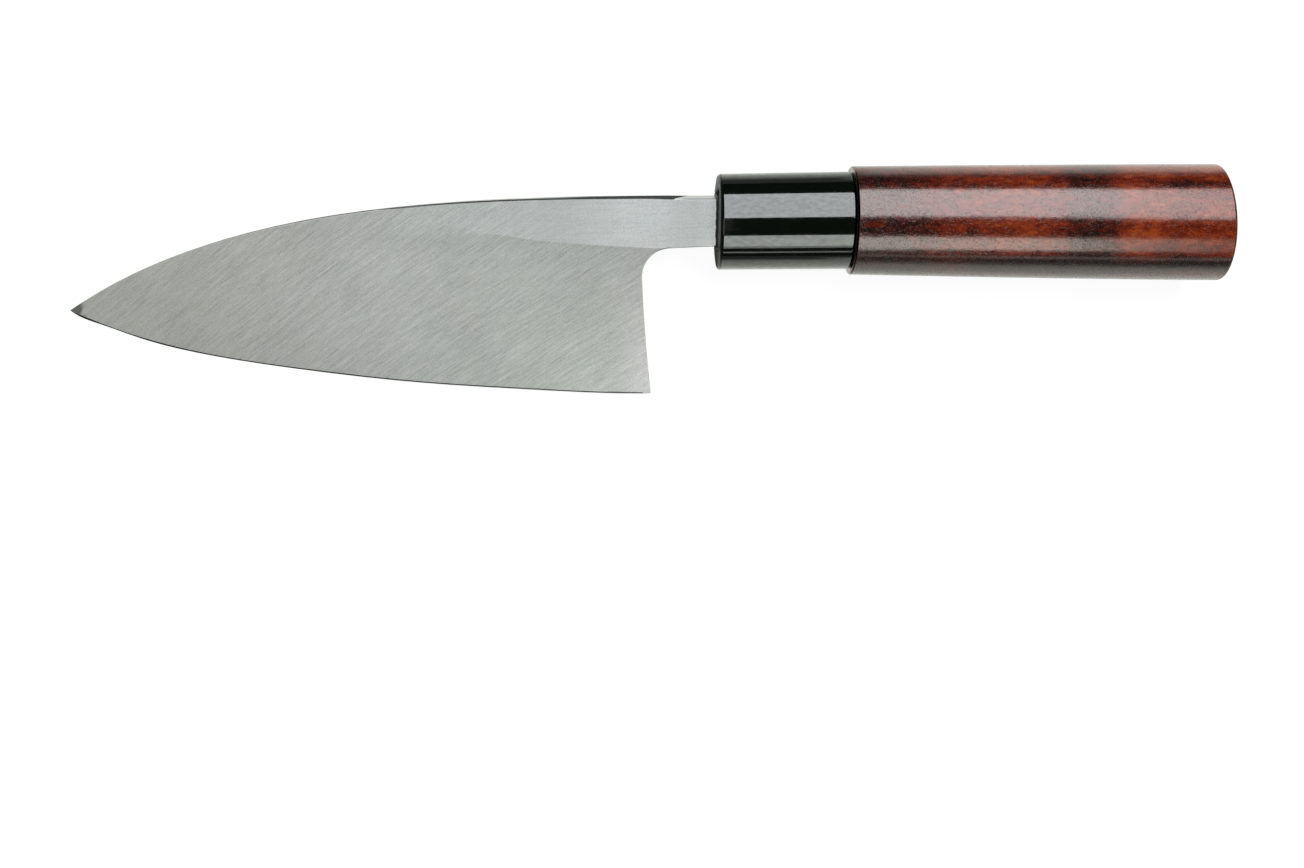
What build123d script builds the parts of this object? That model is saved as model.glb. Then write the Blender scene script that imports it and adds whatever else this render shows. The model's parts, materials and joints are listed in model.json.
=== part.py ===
from build123d import *
import math
import os

# A small single-bevel fish knife with an oval wooden handle. The blade is soft iron with a layer of hard
# steel forge-welded to its flat side. The iron runs on as a neck and a tapering tang, which is driven
# into the handle through a black ferrule and sealed with resin at the ferrule's mouth.
#
# The knife is made straight: X runs along the handle from the tip to the butt, Y from the edge to the
# spine, and Z from the bevelled side to the flat side, with zero on the handle's axis at the ferrule's
# face. At the end the whole knife is laid on a table, flat side up. Millimetres and degrees throughout.

# Blade, seen from its flat side
blade_length = 148.2
blade_height = 51.3
heel_lean = 2.75
heel_bow = 0.4
choil_radius = 7.4

# Places on the blade are shares of its length from the heel, and of its height below the spine.
spine_shares = [(0.09, 0.002), (0.192, 0.007), (0.395, 0.039), (0.599, 0.117), (0.805, 0.277), (0.91, 0.406)]
tip_spine_share = (0.964, 0.491)
tip_share = (1.0, 0.555)
tip_edge_share = (0.985, 0.587)
edge_shares = [(0.952, 0.626), (0.887, 0.698), (0.786, 0.778), (0.616, 0.863), (0.408, 0.936), (0.197, 0.979)]
edge_shares += [(0.09, 0.996)]

# Blade thickness at shares of its length from the heel, and how its edge is ground
heel_thickness = 5.4
quarter_thickness = 4.3
middle_thickness = 3.2
tip_thickness = 1.6
quarter_share, middle_share = 0.25, 0.5
bevel_angle = 11.0
edge_land = 0.2
facet_width = 0.36
facet_angle = 14.0
facet_stop = 2.3
heel_ease = 0.25

# Neck, between the blade and the ferrule
neck_length = 16.8
neck_thickness = 5.6
neck_rise = 6.2
neck_height_at_heel = 13.0
neck_height_at_ferrule = 12.2
neck_ease = 0.3
neck_sharp_ease = 0.12
neck_ease_start = 11.8
neck_ease_full = 7.2

# Hard steel layer, and the line where it ends on the flat side
steel_depth_at_neck = 1.8
steel_depth_at_tip = 0.5
feather_angle = 18.0
weld_shares = [(-0.06, 0.251), (0.09, 0.243), (0.193, 0.207), (0.244, 0.183), (0.312, 0.155), (0.362, 0.125)]
weld_end_shares = [(0.413, 0.081), (0.47, -0.012)]

# Tang
tang_length = 88.0
tang_end_height = 5.6
tang_end_thickness = 2.6
tang_end_radius = 1.2

# Ferrule, an oval cap
ferrule_length = 34.3
ferrule_front_height = 24.5
ferrule_front_sag = 0.19
ferrule_back_height = 25.0
ferrule_back_rise = 0.2
ferrule_wall = 2.8
ferrule_end_wall = 4.0
ferrule_front_radius = 0.9
ferrule_back_radius = 0.8
slot_height_clearance = 1.0
slot_thickness_clearance = 0.9
slot_radius = 1.2
oval_share = 0.9

# Wooden handle
wood_length = 96.0
wood_front_height = 27.7
wood_front_rise = 0.16
wood_middle_height = 29.15
wood_middle_sag = 0.1
wood_butt_height = 30.15
wood_butt_sag = 0.33
wood_front_radius = 0.45
wood_butt_radius = 0.7
butt_lean = 5.0
butt_lean_height = 4.0
tenon_clearance = 0.1
tenon_end_gap = 0.5
tang_hole_clearance = 0.15
tang_hole_end_gap = 1.5

# Resin seal
seal_bead_height = 0.6
seal_bead_overlap = 0.7
seal_bead_radius = 0.4

# One overrun serves every cut.
overrun = 4.0

flat_z = neck_thickness / 2
heel_x = -neck_length
tip_x = heel_x - blade_length
choil_x = heel_x - heel_lean
edge_y = neck_rise - blade_height
butt_x = ferrule_length + wood_length


def on_blade(length_share, drop_share):
    return Vector(heel_x - blade_length * length_share, neck_rise - blade_height * drop_share)


def polygon(*corners):
    return [Line(a, b) for a, b in zip(corners, corners[1:])]


def neck_bottom_y(x):
    height = neck_height_at_ferrule + (neck_height_at_heel - neck_height_at_ferrule) * x / choil_x
    return neck_rise - height


def blade_outline():
    tip, heel = on_blade(*tip_share), on_blade(0, 1)
    edge = Spline(tip, on_blade(*tip_edge_share), *[on_blade(*shares) for shares in edge_shares], heel)
    spine_points = [on_blade(*shares) for shares in reversed(spine_shares)]
    spine = Spline(tip, on_blade(*tip_spine_share), *spine_points, on_blade(0, 0))
    joint_x = -neck_ease_start
    choil = Vector(choil_x, neck_bottom_y(choil_x))
    heel_middle = (heel + choil) / 2 - Vector(heel_bow, 0)
    outline = make_face([
        edge,
        spine,
        *polygon(on_blade(0, 0), (joint_x, neck_rise), (joint_x, neck_bottom_y(joint_x)), choil),
        ThreePointArc(choil, heel_middle, heel),
    ])
    corner = outline.vertices().sort_by_distance(choil)[0]
    return fillet(corner, choil_radius)


def side_prism(path, top_z):
    # Fills the space between a path in the X and Z directions and a level above it, right across the blade.
    start, end = path @ 0, path @ 1
    side = make_face([path, *polygon(end, (end.X, 0, top_z), (start.X, 0, top_z), start)])
    return extrude(side, amount=blade_height + overrun, dir=(0, 1, 0), both=True)


def blade_slab():
    # The unground blade, which thins towards its tip on the side away from the flat one.
    stations = [(1, tip_thickness), (middle_share, middle_thickness)]
    stations += [(quarter_share, quarter_thickness), (0, heel_thickness)]
    points = [Vector(heel_x - blade_length * share, 0, flat_z - thickness) for share, thickness in stations]
    back = Spline(points[0] - Vector(overrun, 0, 0), *points, Vector(-neck_ease_start, 0, -flat_z))
    outline = extrude(blade_outline(), amount=neck_thickness, both=True)
    return outline & side_prism(back, flat_z)


def edge_path(inset):
    # The cutting edge moved into the blade by an inset, and run on straight past both of its ends.
    edge = Spline(*[on_blade(*shares) for shares in edge_shares], on_blade(0, 1))
    steps = 2 * len(edge_shares)
    places = [step / steps for step in range(steps + 1)]
    moved = Spline(*[edge @ place + (edge % place).rotate(Axis.Z, 90) * inset for place in places])
    run = neck_length + overrun
    return [
        Line(moved @ 0 - (moved % 0) * run, moved @ 0),
        moved,
        Line(moved @ 1, moved @ 1 + (moved % 1) * run),
    ]


def ground_away(near, far):
    # What a flat stone grinds off along the edge, between two insets from the edge at two levels.
    faces = []
    low_y = edge_y - blade_height / 2
    for inset, z in (near, far):
        path = edge_path(inset)
        start, end = path[0] @ 0, path[-1] @ 1
        rim = polygon(end, (end.X, low_y), (start.X, low_y), start)
        faces.append(Pos(0, 0, z) * make_face([*path, *rim]))
    return loft(faces, ruled=True)


def blade():
    # The slab with its wide bevel, and on its flat side a narrow facet that stops short of the eased heel.
    outset = overrun / 2
    slope = math.tan(math.radians(bevel_angle))
    land_z = flat_z - edge_land
    drop = neck_thickness + edge_land
    bevel = ground_away((-outset, land_z + outset * slope), (drop / slope, land_z - drop))
    slope = math.tan(math.radians(facet_angle))
    facet_inset = facet_width + outset
    facet = ground_away((facet_inset, flat_z + outset * slope), (-outset, flat_z - facet_inset * slope))
    ends = (Align.MAX, Align.CENTER, Align.CENTER)
    stone_reach = Box(2 * blade_length, 4 * blade_height, blade_height, align=ends)
    ground = blade_slab() - bevel - (facet & Pos(heel_x - facet_stop, 0, 0) * stone_reach)
    heel_edges = ground.edges().filter_by(GeomType.CIRCLE).group_by(Axis.Z)[-1]
    return chamfer(heel_edges, heel_ease)


def cross_section(x, shape):
    # A section square to the handle's axis: its width lies along Y and its height along Z.
    return Plane(origin=(x, 0, 0), x_dir=(0, 1, 0), z_dir=(1, 0, 0)) * shape


def neck_section(x, ease):
    height = neck_rise - neck_bottom_y(x)
    return cross_section(x, Pos(neck_rise - height / 2, 0) * RectangleRounded(height, neck_thickness, ease))


def neck():
    joint = neck_section(-neck_ease_start, neck_sharp_ease)
    eased = neck_section(-neck_ease_full, neck_ease)
    return loft([joint, eased], ruled=True) + loft([eased, neck_section(0, neck_ease)], ruled=True)


def tang(clearance=0.0, end_gap=0.0):
    centre = neck_rise - neck_height_at_ferrule / 2
    sections = []
    for x, height, thickness in (
        (0, neck_height_at_ferrule, neck_thickness),
        (tang_length + end_gap, tang_end_height, tang_end_thickness),
    ):
        outline = RectangleRounded(height + 2 * clearance, thickness + 2 * clearance, tang_end_radius / 2)
        sections.append(cross_section(x, Pos(centre, 0) * outline))
    return loft(sections, ruled=True)


def steel_space():
    # The space of the hard layer: it lies under the flat side and runs out along the weld line.
    weld = Spline(*[on_blade(*shares) for shares in weld_shares + weld_end_shares])
    right, left = weld @ 0, weld @ 1
    low_y, far_x = edge_y - blade_height / 2, tip_x - overrun
    region = make_face([weld, *polygon(left, (far_x, left.Y), (far_x, low_y), (right.X, low_y), right)])
    lean = math.radians(feather_angle)
    downhill = (0, -math.cos(lean), -math.sin(lean))
    leaned = extrude(Pos(0, 0, flat_z) * region, amount=blade_height / 2, dir=downhill, both=True)
    depth = Line((far_x, 0, flat_z - steel_depth_at_tip), (right.X, 0, flat_z - steel_depth_at_neck))
    return leaned & side_prism(depth, flat_z + overrun)


def oval(x, height, rise, inset=0.0):
    return cross_section(x, Pos(rise, 0) * Ellipse(height / 2 - inset, height * oval_share / 2 - inset))


def butt_oval():
    # The butt is cut a little out of square: it leans so that the handle is longest on the edge's side.
    lean = math.radians(butt_lean)
    origin = (butt_x + butt_lean_height * math.tan(lean), 0, 0)
    across = Vector(-math.sin(lean), math.cos(lean), 0)
    plane = Plane(origin=origin, x_dir=across, z_dir=(across.Y, -across.X, 0))
    half_y = wood_butt_height / 2 / math.cos(lean)
    return plane * Pos(-wood_butt_sag, 0) * Ellipse(half_y, wood_butt_height * oval_share / 2)


def ferrule_oval(x, inset=0.0):
    share = x / ferrule_length
    height = ferrule_front_height + (ferrule_back_height - ferrule_front_height) * share
    rise = -ferrule_front_sag + (ferrule_back_rise + ferrule_front_sag) * share
    return oval(x, height, rise, inset)


def slot(x_from, x_to, overlap=0.0):
    height = neck_height_at_ferrule + 2 * (slot_height_clearance + overlap)
    thickness = neck_thickness + 2 * (slot_thickness_clearance + overlap)
    centre = neck_rise - neck_height_at_ferrule / 2
    outline = Pos(centre, 0) * RectangleRounded(height, thickness, slot_radius + overlap)
    return extrude(cross_section(x_from, outline), amount=x_to - x_from, dir=(1, 0, 0))


def ferrule():
    cap = loft([ferrule_oval(0), ferrule_oval(ferrule_length)], ruled=True)
    cap = fillet(cap.edges().sort_by(Axis.X)[0], ferrule_front_radius)
    cap = fillet(cap.edges().sort_by(Axis.X)[-1], ferrule_back_radius)
    socket_ends = [ferrule_oval(x, ferrule_wall) for x in (ferrule_end_wall, ferrule_length + overrun)]
    return cap - loft(socket_ends, ruled=True) - slot(-overrun, ferrule_end_wall + overrun)


def handle():
    grip = loft([
        oval(ferrule_length, wood_front_height, wood_front_rise),
        oval(ferrule_length + wood_length / 2, wood_middle_height, -wood_middle_sag),
        butt_oval(),
    ])
    grip = fillet(grip.edges().sort_by(Axis.X)[0], wood_front_radius)
    grip = fillet(grip.edges().sort_by(Axis.X)[-1], wood_butt_radius)
    tenon_ends = (ferrule_end_wall + tenon_end_gap, ferrule_length + overrun)
    tenon = loft([ferrule_oval(x, ferrule_wall + tenon_clearance) for x in tenon_ends], ruled=True)
    return grip + tenon - tang(tang_hole_clearance, tang_hole_end_gap)


def tang_seal(iron):
    bead = slot(-seal_bead_height, 0, seal_bead_overlap)
    bead = fillet(bead.faces().sort_by(Axis.X)[0].edges(), seal_bead_radius)
    return bead + slot(0, ferrule_end_wall) - iron


def lowest_on_rim(x, height, rise, down):
    half_y, half_z = height / 2, height * oval_share / 2
    reach = math.hypot(half_y * down.Y, half_z * down.Z)
    return Vector(x, rise + half_y**2 * down.Y / reach, half_z**2 * down.Z / reach)


def lowest_on_edge(down):
    edge = Pos(0, 0, flat_z - edge_land) * edge_path(0)[1]
    steps = 40 * len(edge_shares)
    return max((edge @ (step / steps) for step in range(steps + 1)), key=down.dot)


def table():
    # The plane that the knife lies on, flat side up. It touches the front rims of the ferrule and of the
    # wood, and the cutting edge. Each round looks again for the lowest point of each.
    down = Vector(0, 0, -1)
    wood_rim_x = ferrule_length + wood_front_radius
    for _ in range(6):
        ferrule_rim = lowest_on_rim(ferrule_front_radius, ferrule_front_height, -ferrule_front_sag, down)
        wood_rim = lowest_on_rim(wood_rim_x, wood_front_height, wood_front_rise, down)
        down = (wood_rim - ferrule_rim).cross(lowest_on_edge(down) - ferrule_rim).normalized()
        down = down if down.Z < 0 else -down
    along = Vector(1, 0, 0) - down * down.X
    return Plane(origin=ferrule_rim, x_dir=along, z_dir=-down)


def laid_down(pieces):
    plane = table()
    laid = {name: plane.to_local_coords(piece) for name, piece in pieces.items()}
    box = Compound(children=[Part() + piece for piece in laid.values()]).bounding_box()
    centre = box.center()
    return {name: Pos(-centre.X, -centre.Y, -box.min.Z) * piece for name, piece in laid.items()}


def knife():
    iron = blade() - steel_space() + neck() + tang()
    return laid_down({
        "blade_body": iron,
        "edge_steel": blade() & steel_space(),
        "ferrule": ferrule(),
        "handle": handle(),
        "tang_seal": tang_seal(iron),
    })


if __name__ == "__main__":
    os.makedirs("parts", exist_ok=True)
    for name, piece in knife().items():
        piece.label = name
        export_step(piece, f"parts/{name}.step")
        print(name, len(piece.solids()), round(piece.volume, 1), piece.is_valid, piece.bounding_box())
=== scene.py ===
import json
import math

import bpy
from mathutils import Matrix, Vector


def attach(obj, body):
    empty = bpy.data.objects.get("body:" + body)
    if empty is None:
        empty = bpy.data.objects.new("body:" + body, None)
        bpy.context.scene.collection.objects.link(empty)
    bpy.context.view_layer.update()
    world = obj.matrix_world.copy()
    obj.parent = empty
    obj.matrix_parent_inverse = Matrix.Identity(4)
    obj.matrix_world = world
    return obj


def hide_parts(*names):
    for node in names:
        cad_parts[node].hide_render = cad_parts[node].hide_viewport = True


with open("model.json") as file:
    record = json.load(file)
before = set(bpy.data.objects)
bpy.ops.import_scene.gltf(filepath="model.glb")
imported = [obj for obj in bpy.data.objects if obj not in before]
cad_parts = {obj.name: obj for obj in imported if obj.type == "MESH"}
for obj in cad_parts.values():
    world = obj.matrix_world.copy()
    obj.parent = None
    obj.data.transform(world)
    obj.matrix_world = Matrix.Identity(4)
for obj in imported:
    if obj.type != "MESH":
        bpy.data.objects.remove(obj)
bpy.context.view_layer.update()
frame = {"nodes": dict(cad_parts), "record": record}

nodes = frame["nodes"]
mounts = {mount["name"]: mount for mount in frame["record"]["mounts"]}
print("frame loaded:", ", ".join(sorted(nodes)))

# The knife's own axes: X along the handle to the butt, Y from the edge to the spine, Z out of the flat
# side, with zero on the handle's axis at the ferrule's face. The record's mounts give them at rest.
millimetre = 0.001
gripPlace = Vector((82.3, -0.1, 0.0))
outOfFlat = Vector(mounts["blade_flat"]["axis"]).normalized()
alongGrip = Vector(mounts["grip"]["axis"])
alongGrip = (alongGrip - outOfFlat * alongGrip.dot(outOfFlat)).normalized()
towardsSpine = outOfFlat.cross(alongGrip)
knifeTurn = Matrix((alongGrip, towardsSpine, outOfFlat)).transposed()
knifeZero = Vector(mounts["grip"]["pos_m"]) - knifeTurn @ (gripPlace * millimetre)


def atKnife(x, y, z):
    # a point of the knife's own axes, in millimetres, as a place in the scene
    return knifeZero + knifeTurn @ (Vector((x, y, z)) * millimetre)


def alongKnife(x, y, z):
    return (knifeTurn @ Vector((x, y, z))).normalized()


def aimed(place, back, up):
    # stands at a place with its back that way round, and "up" at the top
    right = up.cross(back).normalized()
    top = back.cross(right).normalized()
    return Matrix.Translation(place) @ Matrix((right, top, back)).transposed().to_4x4()


# Camera

photoView = {
    "place": (-33.707, 61.508, 371.541),
    "looksAlong": (0.044601, -0.304150, -0.951580),
    "roll": 0.0077282,
    "lens": 40.17,
    "sensor": 36.0,
    "clip": (0.01, 100.0),
}


def makeCamera():
    data = bpy.data.cameras.new("photoCamera")
    data.lens = photoView["lens"]
    data.sensor_width = photoView["sensor"]
    data.clip_start, data.clip_end = photoView["clip"]
    camera = bpy.data.objects.new("photoCamera", data)
    bpy.context.scene.collection.objects.link(camera)
    level = aimed(atKnife(*photoView["place"]), -alongKnife(*photoView["looksAlong"]), alongKnife(0, 1, 0))
    camera.matrix_world = level @ Matrix.Rotation(photoView["roll"], 4, "Z")
    bpy.context.scene.camera = camera


makeCamera()
print("camera in place")

# Lamps: two long soft boxes over the knife's two sides, each dimmer towards the butt, a thin strip low on
# the edge's side, and a card over the blade. "from" and "to" are degrees from straight out of the flat
# side, towards the spine; "left", "right" and "aim" are metres along the knife.

lampDistance = 0.9
spineLight = (0.955, 1.0, 1.015)
edgeLight = (0.935, 1.0, 0.93)
lamps = {
    "upperBox": {"from": 14.2, "to": 70.0, "left": -0.04, "right": 0.43, "aim": 0.2, "glow": 5.45,
                 "colour": spineLight},
    "upperBoxEnd": {"from": 11.5, "to": 70.0, "left": 0.43, "right": 0.62, "aim": 0.4, "glow": 4.2,
                    "colour": spineLight},
    "lowerBox": {"from": -49.0, "to": -24.0, "left": -0.04, "right": 0.39, "aim": 0.2, "glow": 4.3,
                 "colour": edgeLight},
    "lowerBoxEnd": {"from": -49.0, "to": -24.0, "left": 0.39, "right": 0.49, "aim": 0.35, "glow": 1.7,
                    "colour": edgeLight},
    "lowerBoxTail": {"from": -49.0, "to": -24.0, "left": 0.49, "right": 0.62, "aim": 0.4, "glow": 0.45,
                     "colour": edgeLight},
    "lowerBoxEdge": {"from": -54.0, "to": -49.0, "left": -0.04, "right": 0.22, "aim": 0.1, "glow": 1.95,
                     "colour": edgeLight},
    "lowStrip": {"from": -67.0, "to": -63.5, "left": -0.04, "right": 0.62, "aim": 0.29, "glow": 1.6,
                 "colour": (0.95, 1.0, 0.95)},
    "bladeCard": {"from": -23.0, "to": 14.0, "left": -0.7, "right": 0.08, "aim": -0.1, "glow": 1.0,
                  "colour": (0.97, 1.0, 0.98)},
}


def makeLamp(name, values):
    middle = math.radians((values["from"] + values["to"]) / 2)
    half = math.radians((values["to"] - values["from"]) / 2)
    out = alongKnife(0, math.sin(middle), math.cos(middle))
    along = alongKnife(1, 0, 0)
    data = bpy.data.lights.new(name, "AREA")
    data.shape = "RECTANGLE"
    data.size = values["right"] - values["left"]
    data.size_y = 2 * lampDistance * math.tan(half)
    data.color = values["colour"]
    data.energy = values["glow"] * math.pi * data.size * data.size_y
    lamp = bpy.data.objects.new(name, data)
    bpy.context.scene.collection.objects.link(lamp)
    place = knifeZero + along * (values["left"] + values["right"]) / 2 + out * lampDistance
    back = (place - knifeZero - along * values["aim"]).normalized()
    lamp.matrix_world = aimed(place, back, out.cross(along))


for name, values in lamps.items():
    makeLamp(name, values)
print("lamps:", ", ".join(lamps))


# Small helpers for node trees

def put(tree, kind, inputs=None, **settings):
    # adds a node, sets it up, and fills its sockets with values or with links from other sockets
    node = tree.nodes.new(kind)
    for name, value in settings.items():
        setattr(node, name, value)
    for name, value in (inputs or {}).items():
        if isinstance(value, bpy.types.NodeSocket):
            tree.links.new(value, node.inputs[name])
        else:
            node.inputs[name].default_value = value
    return node


def calc(tree, operation, *values):
    return put(tree, "ShaderNodeMath", dict(enumerate(values)), operation=operation).outputs[0]


def remap(tree, value, low, high, toLow=0.0, toHigh=1.0, shape="SMOOTHSTEP"):
    inputs = {"Value": value, "From Min": low, "From Max": high, "To Min": toLow, "To Max": toHigh}
    return put(tree, "ShaderNodeMapRange", inputs, interpolation_type=shape).outputs["Result"]


def swing(tree, level, *parts):
    # a level that moves with each part, which is a value round 0.5 and how far it carries the level
    total = level - sum(reach for value, reach in parts) / 2
    for value, reach in parts:
        total = calc(tree, "MULTIPLY_ADD", value, reach, total)
    return total


def tint(tree, share, first, second, how="MIX"):
    first, second = [c if isinstance(c, bpy.types.NodeSocket) else (*c, 1.0) for c in (first, second)]
    inputs = {"Factor": share, 6: first, 7: second}
    return put(tree, "ShaderNodeMix", inputs, data_type="RGBA", blend_type=how).outputs[2]


def lit(tree, colour, level):
    # a colour made lighter or darker
    return put(tree, "ShaderNodeVectorMath", {0: colour, 3: level}, operation="SCALE").outputs[0]


def split(tree, vector):
    return put(tree, "ShaderNodeSeparateXYZ", {0: vector}).outputs


def scaled(tree, vector, x, y, z):
    # the same place counted in steps of x, y and z
    return put(tree, "ShaderNodeVectorMath", {0: vector, 1: (x, y, z)}, operation="DIVIDE").outputs[0]


def spaced(tree, vector, size):
    # the same place counted in steps of one size, which may itself be a socket
    share = calc(tree, "DIVIDE", 1.0, size)
    return put(tree, "ShaderNodeVectorMath", {0: vector, 3: share}, operation="SCALE").outputs[0]


def noise(tree, vector, detail=2.0, rough=0.5, twist=0.0):
    inputs = {"Vector": vector, "Scale": 1.0, "Detail": detail, "Roughness": rough, "Distortion": twist}
    return put(tree, "ShaderNodeTexNoise", inputs).outputs[0]


def curve(tree, value, points):
    # a smooth line through points, each a place and a height
    places, heights = zip(*points)
    low, high, bottom, top = min(places), max(places), min(heights), max(heights)
    share = calc(tree, "DIVIDE", calc(tree, "SUBTRACT", value, low), high - low)
    node = put(tree, "ShaderNodeFloatCurve", {"Value": share})
    line = node.mapping.curves[0]
    spots = [((place - low) / (high - low), (height - bottom) / (top - bottom)) for place, height in points]
    line.points[0].location, line.points[-1].location = spots[0], spots[-1]
    for spot in spots[1:-1]:
        line.points.new(*spot)
    node.mapping.update()
    return calc(tree, "MULTIPLY_ADD", node.outputs[0], top - bottom, bottom)


def knifeCoordinates(tree):
    # object coordinates turned into the knife's own axes, in millimetres
    place = put(tree, "ShaderNodeTexCoord").outputs["Object"]
    mapping = put(tree, "ShaderNodeMapping", {
        "Vector": place,
        "Location": knifeZero,
        "Rotation": knifeTurn.to_euler(),
        "Scale": (millimetre,) * 3,
    }, vector_type="TEXTURE")
    return mapping.outputs["Vector"]


def facing(tree, x, y, z):
    # how far the surface faces a direction of the knife's own axes, from -1 to 1
    normal = put(tree, "ShaderNodeTexCoord").outputs["Normal"]
    return put(tree, "ShaderNodeVectorMath", {0: normal, 1: alongKnife(x, y, z)},
               operation="DOT_PRODUCT").outputs["Value"]


def newGroup(name, inputs, outputs):
    tree = bpy.data.node_groups.new(name, "ShaderNodeTree")
    for socket, (kind, value) in inputs.items():
        made = tree.interface.new_socket(socket, in_out="INPUT", socket_type="NodeSocket" + kind)
        if value is not None:
            made.default_value = value
    for socket, kind in outputs.items():
        tree.interface.new_socket(socket, in_out="OUTPUT", socket_type="NodeSocket" + kind)
    return tree, tree.nodes.new("NodeGroupInput").outputs, tree.nodes.new("NodeGroupOutput")


def give(tree, output, results):
    for name, socket in results.items():
        tree.links.new(socket, output.inputs[name])


def use(tree, group, inputs):
    return put(tree, "ShaderNodeGroup", inputs, node_tree=group).outputs


# Effects that more than one material uses, and the ferrule's polish marks

grindMarks = {
    "lineNoise": (3.0, 0.75),
    "bandStep": (2.2, 5.0, 5.0),
    "bandNoise": (2.0, 0.6),
    "scratchStep": (0.9, 1.0, 9.0),
    "glintStep": (0.6, 0.9, 7.0),
    "singleNoise": (1.0, 0.5),
    "scratchShare": (0.64, 0.76),
    "glintShare": (0.66, 0.78),
}


def makeGrindLines():
    # the marks a stone or a belt leaves: fine lines, broader bands of them, and single dark and
    # bright scratches
    tree, given, output = newGroup("grindLines", {
        "Vector": ("Vector", None),
        "Slope": ("Float", 0.6),
        "Bend": ("Float", 0.0),
        "Width": ("Float", 0.3),
        "Length": ("Float", 8.0),
    }, {"Lines": "Float", "Bands": "Float", "Scratches": "Float", "Glints": "Float"})
    x, y, z = split(tree, given["Vector"])
    turn = calc(tree, "ARCTANGENT", given["Slope"])
    bow = calc(tree, "MULTIPLY", calc(tree, "MULTIPLY", x, x), given["Bend"])
    rise = calc(tree, "ADD", calc(tree, "SUBTRACT", y, calc(tree, "MULTIPLY", x, given["Slope"])), bow)
    across = calc(tree, "DIVIDE", calc(tree, "MULTIPLY", rise, calc(tree, "COSINE", turn)), given["Width"])
    run = calc(tree, "ADD", x, calc(tree, "MULTIPLY", y, given["Slope"]))
    run = calc(tree, "DIVIDE", run, given["Length"])
    depth = calc(tree, "DIVIDE", z, given["Width"])
    flow = put(tree, "ShaderNodeCombineXYZ", {0: run, 1: across, 2: depth}).outputs[0]
    lines = noise(tree, flow, *grindMarks["lineNoise"])
    bands = noise(tree, scaled(tree, flow, *grindMarks["bandStep"]), *grindMarks["bandNoise"])
    scratches = noise(tree, scaled(tree, flow, *grindMarks["scratchStep"]), *grindMarks["singleNoise"])
    glints = noise(tree, scaled(tree, flow, *grindMarks["glintStep"]), *grindMarks["singleNoise"])
    give(tree, output, {
        "Lines": lines,
        "Bands": bands,
        "Scratches": remap(tree, scratches, *grindMarks["scratchShare"]),
        "Glints": remap(tree, glints, *grindMarks["glintShare"]),
    })
    return tree


cloudMarks = {
    "noise": (2.0, 0.45),
    "share": (0.3, 0.7),
}


def makeClouds():
    # slow unevenness of a hand-finished surface
    tree, given, output = newGroup("clouds", {"Vector": ("Vector", None), "Size": ("Float", 20.0)},
                                   {"Value": "Float"})
    cloud = noise(tree, spaced(tree, given["Vector"], given["Size"]), *cloudMarks["noise"])
    give(tree, output, {"Value": remap(tree, cloud, *cloudMarks["share"], shape="LINEAR")})
    return tree


polishMarks = {
    "waveNoise": (1.0, 0.4),
    "filmStep": (1.7, 0.8, 0.8),
    "filmNoise": (4.0, 0.65),
    "speckNoise": (1.0, 0.5),
    "speckShare": (0.70, 0.80),
    "rubStep": (4.0, 1.2, 1.2),
    "rubNoise": (4.0, 0.7),
}


def makePolish():
    # what shows in a gloss: slow waves left by polishing, a film of wax, specks of dust, and rubbed places
    tree, given, output = newGroup("polish", {
        "Vector": ("Vector", None),
        "Wave": ("Float", 6.0),
        "Speck": ("Float", 0.35),
    }, {"Waves": "Float", "Film": "Float", "Specks": "Float", "Rubbed": "Float"})
    place = given["Vector"]
    specks = noise(tree, spaced(tree, place, given["Speck"]), *polishMarks["speckNoise"])
    give(tree, output, {
        "Waves": noise(tree, spaced(tree, place, given["Wave"]), *polishMarks["waveNoise"]),
        "Film": noise(tree, scaled(tree, place, *polishMarks["filmStep"]), *polishMarks["filmNoise"]),
        "Specks": remap(tree, specks, *polishMarks["speckShare"]),
        "Rubbed": noise(tree, scaled(tree, place, *polishMarks["rubStep"]), *polishMarks["rubNoise"]),
    })
    return tree


grindLines, clouds, polish = makeGrindLines(), makeClouds(), makePolish()


# The blade's flat side, where hard steel and soft iron meet in one ground face. "weld" is the line
# between them, x and y; it is crisp at the first place of "weldFade" and has melted away at the last.
# Other names with "Fade" give the two places, in millimetres, between which something comes in or goes.

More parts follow.
